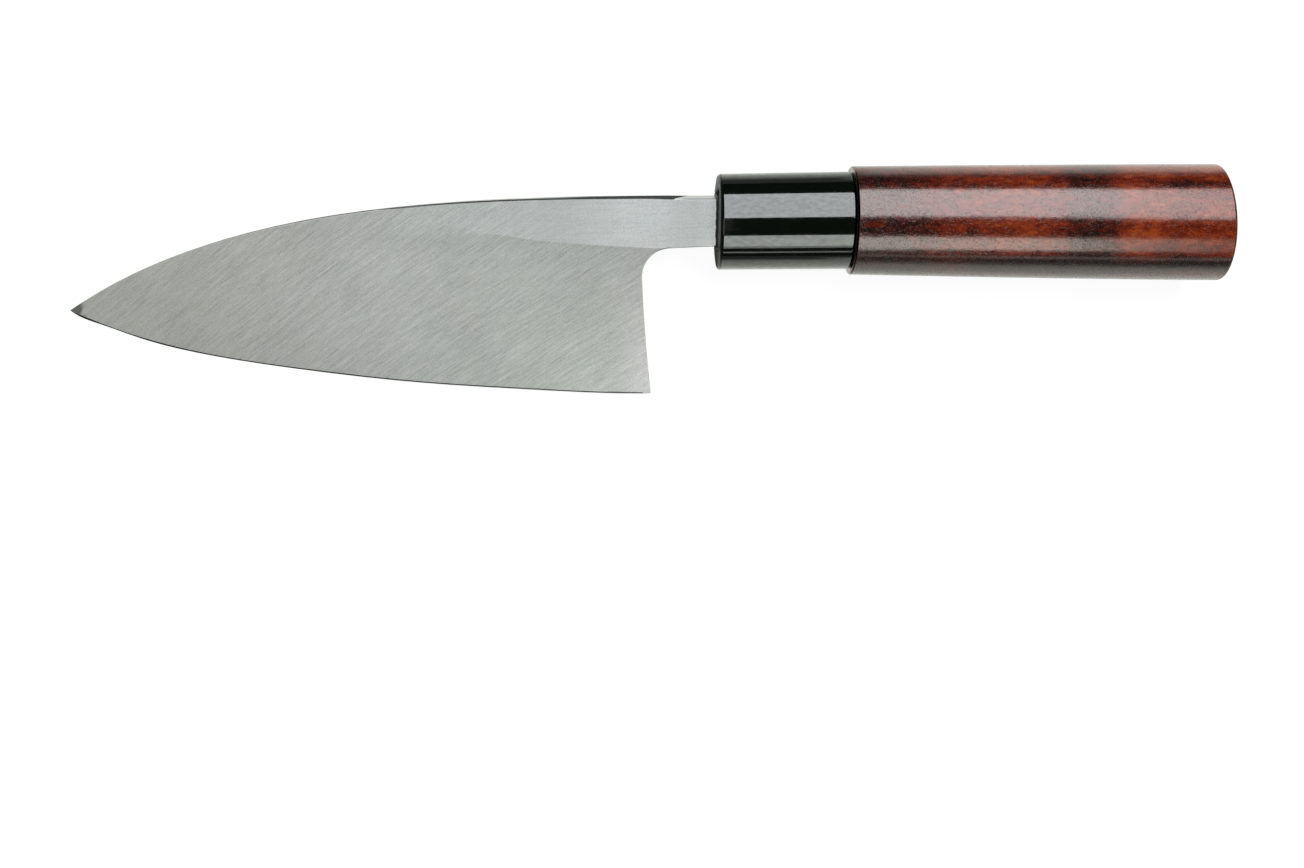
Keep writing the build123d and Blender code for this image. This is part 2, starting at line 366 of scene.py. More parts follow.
flatLook = {
    "weld": ((-96, -1.0), (-84, -1.9), (-76, -2.2), (-69.2, -2.3), (-63.6, -2.45), (-56.9, -2.9),
             (-52.4, -3.5), (-47.3, -4.25), (-41.1, -4.9), (-32.7, -5.55), (-24, -6.05), (-13.6, -6.55),
             (2, -6.7)),
    "weldFade": (-56.0, -74.0),
    "weldBlur": (0.3, 6.0),
    "ironFade": (-92.0, -48.0),
    "stoneSlope": 0.57,
    "stoneBend": 0.00077,
    "stoneLength": 7.5,
    "stoneLines": 0.92,
    "stoneBands": 0.24,
    "scratches": -0.17,
    "glints": 0.14,
    "brushSlope": 0.03,
    "brushLength": 9.0,
    "brushLines": 0.50,
    "brushBands": 0.14,
    "brushFade": (-66.0, -30.0),
    "brushShare": 0.8,
    "lineWidth": 0.27,
    "slowSize": 13.0,
    "slow": 0.06,
    "grainStep": (0.3, 0.3, 0.3),
    "grainNoise": (1.0, 0.5),
    "grain": 0.50,
    "underWeldFade": (-9.0, 0.0),
    "underWeld": -0.05,
    "hueStep": (1.0, 0.8, 1.0),
    "hueSize": 7.0,
    "warm": (1.009, 1.0, 0.988),
    "cool": (0.990, 1.0, 0.999),
    "neck": (1.305, 1.30, 1.315),
    "neckFade": (-43.0, -17.0),
    "neckEndPaintedLight": (1.83, 1.81, 1.83),
    "neckEndFade": (-7.0, 0.0),
    "heel": (1.25, 1.18, 1.225),
    "heelLean": -0.0718,       # the heel's back edge: its x is heelX where y is zero
    "heelX": -20.04,
    "heelFade": (11.0, 0.5),
    "heelDown": (-9.0, -36.0),
    "heelLeast": 0.15,
    "heelOnly": (-10.0, -15.0),
    "middle": (1.05, 1.045, 1.06),
    "middleFade": (-62.0, -85.0),
    "middleGone": (-135.0, -105.0),
    "tip": (0.945, 0.925, 0.905),
    "tipFade": (-75.0, -128.0),
    "point": (0.35, 0.36, 0.34),
    "pointFade": (-161.2, -162.6),
    "pointRagged": 3.0,
}


def makeFlatSide():
    tree, given, output = newGroup("flatSide", {
        "Vector": ("Vector", None),
        "Steel": ("Color", (0.5, 0.5, 0.5, 1.0)),
        "Iron": ("Color", (0.5, 0.5, 0.5, 1.0)),
    }, {"Color": "Color", "Lines": "Float"})
    place = given["Vector"]
    x, y, z = split(tree, place)

    # soft iron above the weld line
    above = calc(tree, "SUBTRACT", y, curve(tree, x, flatLook["weld"]))
    blur = remap(tree, x, *flatLook["weldFade"], *flatLook["weldBlur"])
    iron = remap(tree, calc(tree, "DIVIDE", above, blur), -0.5, 0.5)
    iron = calc(tree, "MULTIPLY", iron, remap(tree, x, *flatLook["ironFade"]))

    # oblique lines from the stone, and lengthwise ones over the iron near the neck
    stone = use(tree, grindLines, {
        "Vector": place, "Slope": flatLook["stoneSlope"], "Bend": flatLook["stoneBend"],
        "Width": flatLook["lineWidth"], "Length": flatLook["stoneLength"]})
    brush = use(tree, grindLines, {"Vector": place, "Slope": flatLook["brushSlope"],
                                   "Width": flatLook["lineWidth"], "Length": flatLook["brushLength"]})
    slow = use(tree, clouds, {"Vector": place, "Size": flatLook["slowSize"]})["Value"]
    hue = use(tree, clouds, {"Vector": scaled(tree, place, *flatLook["hueStep"]),
                             "Size": flatLook["hueSize"]})["Value"]
    lengthwise = calc(tree, "MULTIPLY", iron,
                      remap(tree, x, *flatLook["brushFade"], 0.0, flatLook["brushShare"]))
    oblique = calc(tree, "SUBTRACT", 1.0, lengthwise)
    grain = noise(tree, scaled(tree, place, *flatLook["grainStep"]), *flatLook["grainNoise"])
    stoneLevel = swing(tree, 0.0, (stone["Lines"], flatLook["stoneLines"]),
                       (stone["Bands"], flatLook["stoneBands"]))
    stoneLevel = calc(tree, "MULTIPLY_ADD", stone["Scratches"], flatLook["scratches"], stoneLevel)
    stoneLevel = calc(tree, "MULTIPLY_ADD", stone["Glints"], flatLook["glints"], stoneLevel)
    brushLevel = swing(tree, 0.0, (brush["Lines"], flatLook["brushLines"]),
                       (brush["Bands"], flatLook["brushBands"]))
    level = calc(tree, "MULTIPLY_ADD", stoneLevel, oblique, calc(tree, "MULTIPLY", brushLevel, lengthwise))
    level = calc(tree, "ADD", level, swing(tree, 1.0, (slow, flatLook["slow"]), (grain, flatLook["grain"])))
    underWeld = calc(tree, "MULTIPLY", remap(tree, above, *flatLook["underWeldFade"]),
                     calc(tree, "SUBTRACT", 1.0, iron))
    level = calc(tree, "MULTIPLY_ADD", underWeld, flatLook["underWeld"], level)

    colour = tint(tree, iron, given["Steel"], given["Iron"])
    colour = tint(tree, 1.0, colour, tint(tree, hue, flatLook["warm"], flatLook["cool"]), "MULTIPLY")
    colour = lit(tree, colour, level)

    # painted light and shade for the flat side's shallow hollow: brighter towards the ferrule and down the
    # heel, warmer and darker at the tip
    heelX = calc(tree, "MULTIPLY_ADD", y, flatLook["heelLean"], flatLook["heelX"])
    nearHeel = remap(tree, calc(tree, "SUBTRACT", heelX, x), *flatLook["heelFade"])
    nearHeel = calc(tree, "MULTIPLY", nearHeel,
                    remap(tree, y, *flatLook["heelDown"], flatLook["heelLeast"], 1.0))
    nearHeel = calc(tree, "MULTIPLY", nearHeel, remap(tree, x, *flatLook["heelOnly"]))
    nearNeck = calc(tree, "MULTIPLY", iron, remap(tree, x, *flatLook["neckFade"]))
    midway = calc(tree, "MULTIPLY", remap(tree, x, *flatLook["middleFade"]),
                  remap(tree, x, *flatLook["middleGone"]))
    nearTip = remap(tree, x, *flatLook["tipFade"])
    ragged = swing(tree, 0.0, (stone["Bands"], flatLook["pointRagged"]))
    nearPoint = remap(tree, calc(tree, "ADD", x, ragged), *flatLook["pointFade"])
    for share, end in ((nearNeck, "neck"), (nearHeel, "heel"), (midway, "middle"), (nearTip, "tip"),
                       (nearPoint, "point")):
        colour = tint(tree, share, colour, tint(tree, 1.0, colour, flatLook[end], "MULTIPLY"))
    # painted light: the last millimetres before the ferrule brightened further, against the ferrule's shade
    # on the neck
    neckEndLightShare = remap(tree, x, *flatLook["neckEndFade"], shape="LINEAR")
    neckEndLightShare = calc(tree, "MULTIPLY", neckEndLightShare, neckEndLightShare)
    bright = tuple(end / start for end, start in zip(flatLook["neckEndPaintedLight"], flatLook["neck"]))
    colour = tint(tree, neckEndLightShare, colour, tint(tree, 1.0, colour, bright, "MULTIPLY"))
    lines = calc(tree, "ADD", calc(tree, "MULTIPLY", stone["Lines"], oblique),
                 calc(tree, "MULTIPLY", brush["Lines"], lengthwise))
    give(tree, output, {"Color": colour, "Lines": lines})
    return tree


flatSide = makeFlatSide()
print("node groups:", grindLines.name, clouds.name, polish.name, flatSide.name)


def startMaterial(name):
    material = bpy.data.materials.new(name)
    material.use_nodes = True
    tree = material.node_tree
    tree.nodes.clear()
    return material, tree


def finishMaterial(tree, inputs):
    shader = put(tree, "ShaderNodeBsdfPrincipled", inputs)
    put(tree, "ShaderNodeOutputMaterial", {"Surface": shader.outputs[0]})


def bump(tree, height, distance):
    inputs = {"Height": height, "Distance": distance, "Strength": 1.0}
    return put(tree, "ShaderNodeBump", inputs).outputs[0]


def setMaterial(node, material):
    slots = nodes[node].data.materials
    for index in range(len(slots)):
        slots[index] = material


# Hard steel makes the ground field of the flat side and the cutting edge, soft iron the rest. Names with
# "Facing" give how squarely a face has to look one way for an effect to begin there and to be complete.

steelLook = {
    "colour": (0.428, 0.435, 0.425),
    "rough": 0.34,
    "lineDepth": 0.0000035,
    "bevel": (0.55, 0.555, 0.55),
    "bevelRough": 0.28,
    "bevelSlope": 0.57,
    "bevelWidth": 0.4,
    "facet": (0.045, 0.047, 0.045),
    "facetDown": (0.12, 0.2),
    "facetOut": (0.2, 0.4),
    "edgeLean": -0.034,        # the edge near the heel: its y is edgeY where x is zero
    "edgeY": -45.99,
    "paintedHeelDark": (-36.0, -19.0),
    "heelLineFade": (-34.0, -26.0),
    "heelLineWidth": (0.15, 0.50),
    "heelLineSoft": (0.12, -0.08),
    "heelEnd": (0.52, 0.50, 0.48),
    "heelEndFacing": (0.2, 0.5),
}
ironLook = {
    "colour": (0.478, 0.487, 0.491),
    "rough": 0.31,
    "lineDepth": 0.000003,
    "bevel": (0.40, 0.405, 0.40),
    "bevelRough": 0.48,
    "bevelSlope": 0.05,
    "bevelWidth": 0.5,
    "bevelLength": 8.0,
    "bevelLines": 0.5,
    "bevelBands": 0.35,
    "bevelFacing": (-0.1, 0.3),
    "lineRough": 0.10,
    "spine": (0.035, 0.036, 0.035),
    "spineStripFar": (0.10, 0.10, 0.098),
    "spineStripFarFade": (-52.0, -88.0),
    "spineBack": (0.62, 0.63, 0.62),
    "spineBackFade": (-30.0, -50.0),
    "spineBackDown": (0.5, -0.4),
    "spineFacing": (0.5, 0.8),
    "darkStripEnd": -9.0,
    "darkStripSlant": -0.70,
    "darkStripSoft": (0.0, 0.5),
    "darkStripRough": 0.8,
    "darkStripOver": 6.17,
    "darkStripOverFrom": -26.0,
    "darkStripDrop": -0.16,
    "darkStripDropFade": (-18.0, -11.0),
    "darkStripRagged": 0.10,
    "raggedStep": (2.2, 1.0, 3.0),
    "raggedNoise": (2.0, 0.6),
    "neckTopShade": (0.50, 0.51, 0.51),
    "neckTopFade": (-12.0, -8.0),
    "neckCornerShade": (0.12, 0.12, 0.12),
    "neckCornerFacing": (0.15, 0.28),
    "neckCornerBefore": (0.80, 0.68),
    "underNeckShade": (0.012, 0.012, 0.012),
    "underNeckFacing": (0.10, 0.3),
    "underNeckFade": (-17.0, -13.0),
    "specular": 0.1,
}


def ground(tree, place, look):
    # the flat side's face and the bevelled side's, told apart by the way they face
    flat = use(tree, flatSide, {"Vector": place, "Steel": (*steelLook["colour"], 1.0),
                                "Iron": (*ironLook["colour"], 1.0)})
    bevel = use(tree, grindLines, {"Vector": place, "Slope": look["bevelSlope"],
                                   "Width": look["bevelWidth"], "Length": ironLook["bevelLength"]})
    level = swing(tree, 1.0, (bevel["Lines"], ironLook["bevelLines"]),
                  (bevel["Bands"], ironLook["bevelBands"]))
    behind = remap(tree, facing(tree, 0, 0, -1), *ironLook["bevelFacing"])
    colour = tint(tree, behind, flat["Color"], lit(tree, look["bevel"], level))
    lines = calc(tree, "ADD", calc(tree, "MULTIPLY", flat["Lines"], calc(tree, "SUBTRACT", 1.0, behind)),
                 calc(tree, "MULTIPLY", bevel["Lines"], behind))
    base = calc(tree, "MULTIPLY_ADD", behind, look["bevelRough"] - look["rough"], look["rough"])
    rough = calc(tree, "ADD", base, swing(tree, 0.0, (lines, ironLook["lineRough"])))
    return colour, lines, rough


def makeHardSteel():
    material, tree = startMaterial("hardSteel")
    place = knifeCoordinates(tree)
    colour, lines, rough = ground(tree, place, steelLook)
    # painted dark reflection on the small facet along the cutting edge
    facet = calc(tree, "MULTIPLY", remap(tree, facing(tree, 0, -1, 0), *steelLook["facetDown"]),
                 remap(tree, facing(tree, 0, 0, 1), *steelLook["facetOut"]))
    # painted dark reflection: the cutting edge's dark line broadens towards the heel
    x, y, z = split(tree, place)
    lowest = calc(tree, "MULTIPLY_ADD", x, steelLook["edgeLean"], steelLook["edgeY"])
    broad = remap(tree, x, *steelLook["heelLineFade"], *steelLook["heelLineWidth"])
    paintedHeelDark = remap(tree, calc(tree, "SUBTRACT", calc(tree, "SUBTRACT", y, lowest), broad),
                     *steelLook["heelLineSoft"])
    lineStart, lineEnd = steelLook["paintedHeelDark"]
    nearHeel = calc(tree, "MULTIPLY", calc(tree, "GREATER_THAN", x, lineStart),
                    calc(tree, "LESS_THAN", x, lineEnd))
    paintedHeelDark = calc(tree, "MULTIPLY", paintedHeelDark, nearHeel)
    facet = calc(tree, "MAXIMUM", facet, paintedHeelDark)
    colour = tint(tree, facet, colour, steelLook["facet"])
    heelEnd = remap(tree, facing(tree, 1, 0, 0), *steelLook["heelEndFacing"])     # cut face, left dull
    colour = tint(tree, heelEnd, colour, steelLook["heelEnd"])
    finishMaterial(tree, {
        "Base Color": colour,
        "Metallic": calc(tree, "SUBTRACT", 1.0, heelEnd),
        "Roughness": rough,
        "Normal": bump(tree, lines, steelLook["lineDepth"]),
    })
    return material


# Soft iron: neck, back and bevelled side, with a dark rough strip along the spine

def makeSoftIron():
    material, tree = startMaterial("softIron")
    place = knifeCoordinates(tree)
    x, y, z = split(tree, place)
    colour, lines, rough = ground(tree, place, ironLook)
    # the dark strip stops at the neck in a slant, and runs a little way over the corner into the flat side
    darkStripEnd = calc(tree, "MULTIPLY_ADD", z, ironLook["darkStripSlant"], ironLook["darkStripEnd"])
    wobble = noise(tree, scaled(tree, place, *ironLook["raggedStep"]), *ironLook["raggedNoise"])
    lowest = swing(tree, ironLook["darkStripOver"], (wobble, ironLook["darkStripRagged"]))
    lowest = calc(tree, "MULTIPLY_ADD", remap(tree, x, *ironLook["darkStripDropFade"]),
                  ironLook["darkStripDrop"], lowest)
    overCorner = calc(tree, "MULTIPLY", calc(tree, "GREATER_THAN", y, lowest),
                      calc(tree, "GREATER_THAN", x, ironLook["darkStripOverFrom"]))
    spine = remap(tree, facing(tree, 0, 1, 0), *ironLook["spineFacing"])
    atNeck = remap(tree, x, *ironLook["neckTopFade"])
    scale = calc(tree, "MULTIPLY", calc(tree, "MAXIMUM", spine, overCorner),
                 remap(tree, calc(tree, "SUBTRACT", darkStripEnd, x), *ironLook["darkStripSoft"]))
    # painted shade on the neck's top face by the ferrule, dimming the upper lamp's reflection there
    colour = tint(tree, calc(tree, "MULTIPLY", spine, atNeck), colour, ironLook["neckTopShade"])
    # further out the spine's back half turns to lighter metal, and what is left of the dark strip turns
    # lighter
    lighterShare = remap(tree, x, *ironLook["spineStripFarFade"])
    lighterBack = calc(tree, "MULTIPLY", remap(tree, z, *ironLook["spineBackDown"]),
                remap(tree, x, *ironLook["spineBackFade"]))
    scale = calc(tree, "MULTIPLY", scale, calc(tree, "SUBTRACT", 1.0, lighterBack))
    colour = tint(tree, lighterBack, colour, ironLook["spineBack"])
    colour = tint(tree, scale, colour, tint(tree, lighterShare, ironLook["spine"], ironLook["spineStripFar"]))
    # painted shade: a dark line along the neck's top corner, and a near-black one on its underside, by the
    # ferrule
    corner = calc(tree, "MULTIPLY", remap(tree, facing(tree, 0, 1, 0), *ironLook["neckCornerFacing"]),
                  remap(tree, facing(tree, 0, 1, 0), *ironLook["neckCornerBefore"]))
    colour = tint(tree, calc(tree, "MULTIPLY", corner, atNeck), colour, ironLook["neckCornerShade"])
    under = calc(tree, "MULTIPLY", remap(tree, facing(tree, 0, -1, 0), *ironLook["underNeckFacing"]),
                 remap(tree, x, *ironLook["underNeckFade"]))
    colour = tint(tree, under, colour, ironLook["underNeckShade"])
    finishMaterial(tree, {
        "Base Color": colour,
        "Metallic": calc(tree, "SUBTRACT", 1.0, scale),
        "Roughness": calc(tree, "MAXIMUM", rough, calc(tree, "MULTIPLY", scale, ironLook["darkStripRough"])),
        "Specular IOR Level": ironLook["specular"],
        "Normal": bump(tree, lines, ironLook["lineDepth"]),
    })
    return material


# Ferrule: polished black plastic with a sawn front face

ferruleLook = {
    "colour": (0.0012, 0.0028, 0.0012),
    "dust": (0.02, 0.022, 0.02),
    "dustShare": 0.5,
    "speckSize": 0.3,
    "waveSize": 5.0,
    "waveDepth": 0.000012,
    "rough": (0.055, 0.12),
    "rubbed": (0.35, 0.75),
    "wax": (0.3, 0.9),
    "film": (0.3, 0.7),
    "coatRough": 0.05,
    "ior": 1.5,
    "rimFacing": (0.10, 0.28),
    "rimRough": 0.12,
    "rimBlack": 0.7,
    "rimBlackFacing": (0.12, 0.3),
    "rimBlackBefore": (0.99, 0.93),
    "backRimFacing": (0.12, 0.4),
    "backRimOff": (2.0, 5.0),
    "face": (0.012, 0.014, 0.009),
    "facePaintedLight": (0.24, 0.24, 0.20),
    "faceFacing": (0.80, 0.97),
    "faceRough": (0.55, 0.4),
    "sawTurn": 0.6,
    "sawStep": (3.0, 0.7, 3.5),
    "sawNoise": (3.0, 0.6),
    "sawShare": (0.38, 0.60),
    "sawLeast": 0.2,
    "aboveNeck": (4.5, 7.5),
    "aboveNeckPaintedLight": 0.45,
    "belowNeck": (-5.0, -7.0),
    "belowNeckOut": (1.0, 6.0),
    "belowNeckLeast": 0.3,
    "belowNeckPaintedLight": 1.6,
}


def makeFerruleBlack():
    material, tree = startMaterial("ferruleBlack")
    place = knifeCoordinates(tree)
    x, y, z = split(tree, place)
    gloss = use(tree, polish, {"Vector": place, "Wave": ferruleLook["waveSize"],
                               "Speck": ferruleLook["speckSize"]})
    dust = calc(tree, "MULTIPLY", gloss["Specks"], ferruleLook["dustShare"])
    colour = tint(tree, dust, ferruleLook["colour"], ferruleLook["dust"])
    rough = remap(tree, gloss["Rubbed"], *ferruleLook["rubbed"], *ferruleLook["rough"])
    # the front face: sawn, with slanting marks; painted light above the neck and along its lower rim, where
    # the face mirrors the white floor, dark between, in the neck's shade
    forward = facing(tree, -1, 0, 0)
    front = remap(tree, forward, *ferruleLook["faceFacing"])
    slanted = put(tree, "ShaderNodeVectorRotate", {
        "Vector": place, "Axis": (1, 0, 0), "Angle": ferruleLook["sawTurn"]},
        rotation_type="AXIS_ANGLE").outputs[0]
    sawn = noise(tree, scaled(tree, slanted, *ferruleLook["sawStep"]), *ferruleLook["sawNoise"])
    aboveNeck = remap(tree, y, *ferruleLook["aboveNeck"])
    belowNeck = calc(tree, "MULTIPLY", remap(tree, y, *ferruleLook["belowNeck"]),
                     remap(tree, z, *ferruleLook["belowNeckOut"], ferruleLook["belowNeckLeast"], 1.0))
    light = calc(tree, "MAXIMUM", calc(tree, "MULTIPLY", aboveNeck, ferruleLook["aboveNeckPaintedLight"]),
                 calc(tree, "MULTIPLY", belowNeck, ferruleLook["belowNeckPaintedLight"]))
    light = calc(tree, "MULTIPLY", light,
                 remap(tree, sawn, *ferruleLook["sawShare"], ferruleLook["sawLeast"], 1.0))
    faceColour = tint(tree, light, ferruleLook["face"], ferruleLook["facePaintedLight"])
    # both rims are rougher and unwaxed; the front rim carries a painted dark reflection, and the back rim
    # painted black shade in the crevice before the wood
    paintedBackRimShade = calc(tree, "MULTIPLY", remap(tree, facing(tree, 1, 0, 0), *ferruleLook["backRimFacing"]),
                   remap(tree, calc(tree, "ABSOLUTE", z), *ferruleLook["backRimOff"]))
    edges = calc(tree, "MAXIMUM", remap(tree, forward, *ferruleLook["rimFacing"]), paintedBackRimShade)
    paintedFrontRimDark = calc(tree, "MULTIPLY", remap(tree, forward, *ferruleLook["rimBlackFacing"]),
                    remap(tree, forward, *ferruleLook["rimBlackBefore"]))
    paintedFrontRimDark = calc(tree, "MULTIPLY", paintedFrontRimDark, ferruleLook["rimBlack"])
    wax = remap(tree, gloss["Film"], *ferruleLook["film"], *ferruleLook["wax"], shape="LINEAR")
    rough = calc(tree, "MAXIMUM", rough, calc(tree, "MULTIPLY", edges, ferruleLook["rimRough"]))
    faceRough = remap(tree, light, 0.0, 1.0, *ferruleLook["faceRough"], shape="LINEAR")
    rough = calc(tree, "MULTIPLY_ADD", front, calc(tree, "SUBTRACT", faceRough, rough), rough)
    plain = calc(tree, "SUBTRACT", 1.0, edges)
    finishMaterial(tree, {
        "Base Color": tint(tree, front, colour, faceColour),
        "Metallic": calc(tree, "MAXIMUM", paintedBackRimShade, paintedFrontRimDark),
        "Roughness": rough,
        "IOR": ferruleLook["ior"],
        "Coat Weight": calc(tree, "MULTIPLY", wax, plain),
        "Coat Roughness": ferruleLook["coatRough"],
        "Normal": bump(tree, gloss["Waves"], ferruleLook["waveDepth"]),
    })
    return material


# Handle: red-brown stained wood under a satin lacquer. "stain" is how light the stain has come out
# along the handle: a place in millimetres, and a share from the darkest colour to the brightest.
# "marks" gives each kind of mark in the wood the steps that it is counted in, along and across the
# handle, and its noise; "shade" and "height" are how far a mark carries the colour and the surface.

woodLook = {
    "tones": ((0.0, (0.008, 0.0026, 0.0016)), (0.28, (0.034, 0.0050, 0.0026)),
              (0.5, (0.080, 0.0074, 0.0022)), (0.74, (0.140, 0.0145, 0.0030)),
              (1.0, (0.250, 0.0380, 0.0066))),
    "stain": ((34, 0.20), (40, 0.22), (45, 0.24), (50, 0.33), (55.5, 0.51), (60.5, 0.56), (65.5, 0.60),
              (76, 0.69), (81, 0.61), (86, 0.54), (91, 0.26), (96, 0.27), (100.5, 0.55), (104.5, 0.80),
              (108.5, 0.83), (114, 0.70), (120, 0.69), (126, 0.73), (142, 0.73)),
    "marks": {
        "streaks": ((30.0, 1.6, 1.6), (3.0, 0.6, 0.25)),
        "zones": ((9.0, 4.0, 4.0), (3.0, 0.6)),
        "patches": ((3.0, 1.7, 1.7), (2.0, 0.6)),
        "fibres": ((2.4, 0.45, 0.45), (3.0, 0.65)),
        "flecks": ((0.42, 1.2, 1.2), (2.0, 0.65)),
        "specks": ((0.42, 0.37, 0.37), (2.0, 0.6)),
        "sheen": ((0.36, 0.5, 0.5), (2.0, 0.6)),
        "pores": ((1.2, 0.34, 0.34), (2.0, 0.6)),
        "wander": ((22.0, 9.0, 9.0), (1.0, 0.5)),
    },
    "shade": {"streaks": 0.55, "zones": 0.6, "patches": 1.1, "fibres": 0.6, "flecks": 0.40, "specks": 0.55},
    "height": {"fibres": 0.42, "flecks": 0.30, "specks": 0.22},
    "grainDepth": 0.000038,
    "poreShare": (0.60, 0.70),
    "poreDark": 0.6,
    "poreDepth": 0.3,
    "edgeSidePaintedShade": 0.45,
    "underFacing": (0.30, 0.54),
    "lighterShare": 0.22,
    "ridgeLightFacing": (0.0, 0.14),
    "ridgeLightUntil": (0.42, 0.28),
    "turned": -0.2,            # what faces the table, short of the butt
    "turnedFacing": (0.08, -0.06),
    "turnedFade": (141.0, 140.0),
    "wander": 4.0,
    "darkStreaks": ((10.8, 1.3, 100.0, 0.42), (-9.8, 2.8, 60.0, 0.55)),     # height, reach, start, depth
    "streakFade": 10.0,
    "crevice": (0.0012, 0.001, 0.001),
    "creviceFacing": (0.08, 0.35),
    "creviceFade": (38.0, 37.0),
    "creviceOff": (2.5, 5.5),
    "rimShade": (0.050, 0.043, 0.022),
    "rimFacing": (0.16, 0.40),
    "rimBefore": (0.995, 0.96),
    "rimRough": 0.6,
    "rimShadeMetallic": 0.8,
    "rough": 0.13,
    "fleckRough": 0.08,
    "pitShare": (0.52, 0.64),
    "pitRough": 0.16,
    "lowerRough": 0.10,
    "lowerFacing": (0.3, 0.65),
    "ior": 1.62,
    "glossTint": (1.0, 0.82, 0.785),
    "coat": (0.12, 0.58),
    "coatShare": (0.68, 0.32),
    "coatRough": 0.13,
    "veil": 0.06,
    "veilRough": 0.3,
}


def makeStainedWood():
    material, tree = startMaterial("stainedWood")
    place = knifeCoordinates(tree)
    x, y, z = split(tree, place)
    marks = {name: noise(tree, scaled(tree, place, *steps), *kind)
             for name, (steps, kind) in woodLook["marks"].items()}
    pores = remap(tree, marks["pores"], *woodLook["poreShare"])
    shade = calc(tree, "ADD", curve(tree, x, woodLook["stain"]),
                 swing(tree, 0.0, *((marks[name], reach) for name, reach in woodLook["shade"].items())))
    # painted shade on the edge's side, which the lamps light less, and a painted highlight along the spine's
    # side
    edgeward = facing(tree, 0, -1, 0)
    shade = calc(tree, "MULTIPLY", shade,
                 remap(tree, edgeward, *woodLook["underFacing"], 1.0, 1.0 - woodLook["edgeSidePaintedShade"]))
    upward = facing(tree, 0, 0, 1)
    paintedRidgeHighlight = calc(tree, "MULTIPLY", remap(tree, upward, *woodLook["ridgeLightUntil"]),
                 remap(tree, upward, *woodLook["ridgeLightFacing"]))
    paintedRidgeHighlight = calc(tree, "MULTIPLY", paintedRidgeHighlight, calc(tree, "GREATER_THAN", y, 0.0))
    shade = calc(tree, "MULTIPLY_ADD", paintedRidgeHighlight, woodLook["lighterShare"], shade)
    # painted shade: darker where the handle faces the table, short of the butt
    turned = calc(tree, "MULTIPLY", remap(tree, upward, *woodLook["turnedFacing"]),
                  remap(tree, x, *woodLook["turnedFade"]))
    shade = calc(tree, "MULTIPLY_ADD", turned, woodLook["turned"], shade)
    # two dark streaks: one on the spine's side near the butt, one low on the edge's side
    wander = swing(tree, 0.0, (marks["wander"], woodLook["wander"]))
    for height, reach, start, depth in woodLook["darkStreaks"]:
        off = calc(tree, "ABSOLUTE", calc(tree, "SUBTRACT", calc(tree, "ADD", y, wander), height))
        streak = calc(tree, "MULTIPLY", remap(tree, off, reach, 0.0),
                      remap(tree, x, start, start + woodLook["streakFade"]))
        shade = calc(tree, "MULTIPLY_ADD", streak, -depth, shade)
    ramp = put(tree, "ShaderNodeValToRGB", {"Fac": shade})
    stops = ramp.color_ramp.elements
    for index, (stop, colour) in enumerate(woodLook["tones"]):
        element = stops[index] if index < 2 else stops.new(stop)     # a new ramp has two already
        element.position, element.color = stop, (*colour, 1.0)
    poreDark = calc(tree, "MULTIPLY", pores, woodLook["poreDark"])
    colour = tint(tree, poreDark, ramp.outputs[0], woodLook["tones"][0][1])
    # painted shade, black in the crevice behind the ferrule, and a painted dark reflection on the rim round
    # the butt
    crevice = calc(tree, "MULTIPLY", remap(tree, facing(tree, -1, 0, 0), *woodLook["creviceFacing"]),
                   remap(tree, x, *woodLook["creviceFade"]))
    crevice = calc(tree, "MULTIPLY", crevice,
                   remap(tree, calc(tree, "ABSOLUTE", z), *woodLook["creviceOff"]))
    colour = tint(tree, crevice, colour, woodLook["crevice"])
    rim = calc(tree, "MULTIPLY", remap(tree, facing(tree, 1, 0, 0), *woodLook["rimFacing"]),
               remap(tree, facing(tree, 1, 0, 0), *woodLook["rimBefore"]))
    colour = tint(tree, rim, colour, woodLook["rimShade"])
    pits = remap(tree, marks["sheen"], *woodLook["pitShare"])
    rough = calc(tree, "MULTIPLY_ADD", pits, woodLook["pitRough"],
                 swing(tree, woodLook["rough"], (marks["flecks"], woodLook["fleckRough"])))
    rough = calc(tree, "ADD", rough,
                 remap(tree, edgeward, *woodLook["lowerFacing"], 0.0, woodLook["lowerRough"]))
    rough = calc(tree, "MAXIMUM", rough, calc(tree, "MULTIPLY", rim, woodLook["rimRough"]))
    height = swing(tree, 0.0, *((marks[name], reach) for name, reach in woodLook["height"].items()))
    height = calc(tree, "SUBTRACT", height, calc(tree, "MULTIPLY", pores, woodLook["poreDepth"]))
    coat = remap(tree, marks["sheen"], *woodLook["coatShare"], *woodLook["coat"], shape="LINEAR")
    finishMaterial(tree, {
        "Base Color": colour,
        "Metallic": calc(tree, "MAXIMUM", crevice, calc(tree, "MULTIPLY", rim, woodLook["rimShadeMetallic"])),
        "Coat Weight": calc(tree, "MULTIPLY", coat,
                            calc(tree, "SUBTRACT", 1.0, calc(tree, "MAXIMUM", crevice, rim))),
        "Coat Roughness": woodLook["coatRough"],
        "Roughness": rough,
        "IOR": woodLook["ior"],
        "Specular Tint": (*woodLook["glossTint"], 1.0),
        "Sheen Weight": woodLook["veil"],
        "Sheen Roughness": woodLook["veilRough"],
        "Normal": bump(tree, height, woodLook["grainDepth"]),
    })
    return material


# Resin round the neck

resinLook = {
    "colour": (0.006, 0.0065, 0.006),
    "rough": (0.2, 0.5),
    "lumpStep": (0.5, 0.5, 0.5),
    "lumpNoise": (3.0, 0.6),
    "lumpShare": (0.3, 0.7),
    "lumpDepth": 0.00015,
}


